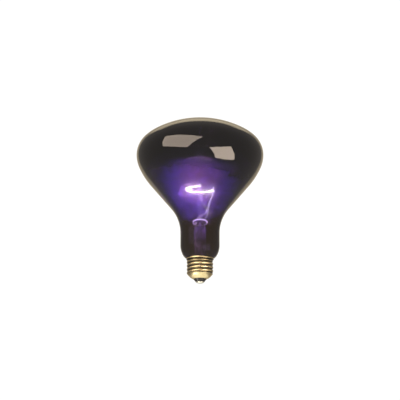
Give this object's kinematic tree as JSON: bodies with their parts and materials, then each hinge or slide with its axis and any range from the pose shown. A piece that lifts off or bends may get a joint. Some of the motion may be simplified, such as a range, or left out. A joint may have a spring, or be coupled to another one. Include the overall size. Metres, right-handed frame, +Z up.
{
  "type": "incandescent reflector light bulb",
  "caption": "Mushroom-shaped reflector bulb in very dark violet glass with a ring filament on a glass stem and a medium Edison screw base.",
  "frame": {"origin": "centre of the flat under the centre contact, the lowest point of the bulb", "axes": "+Z up the bulb's axis from the contact to the crown, +X to the right as seen from the front, where the front lead is"},
  "size_m": [0.127, 0.127, 0.1675],
  "materials": {
    "violet_glass": "glossy, very dark violet filter glass",
    "shell_brass": "drawn and rolled, bright",
    "black_glass": "glossy black moulded glass",
    "contact_metal": "tinned, pale",
    "solder": "smooth frozen solder",
    "cement": "matt, baked",
    "stem_glass": "clear drawn glass",
    "nickel_wire": "drawn wire",
    "copper_wire": "drawn wire",
    "tungsten": "coiled wire, glowing",
    "shield_metal": "pressed sheet",
    "molybdenum_wire": "drawn wire"
  },
  "bodies": {
    "root": {"glass_bowl": "violet_glass", "glass_neck": "violet_glass", "screw_shell": "shell_brass", "base_insulator": "black_glass", "contact_eyelet": "contact_metal", "centre_solder": "solder", "side_solder": "solder", "basing_cement": "cement", "stem_flare": "stem_glass", "exhaust_tube": "stem_glass", "arbor_rod": "stem_glass", "inner_lead_right": "nickel_wire", "inner_lead_front": "nickel_wire", "seal_wire_right": "copper_wire", "seal_wire_left": "copper_wire", "outer_lead_side": "copper_wire", "outer_lead_centre": "copper_wire", "filament": "tungsten", "heat_shield": "shield_metal", "support_wire_1": "molybdenum_wire", "support_wire_2": "molybdenum_wire", "support_wire_3": "molybdenum_wire", "support_wire_4": "molybdenum_wire", "support_wire_5": "molybdenum_wire"}
  },
  "joints": []
}
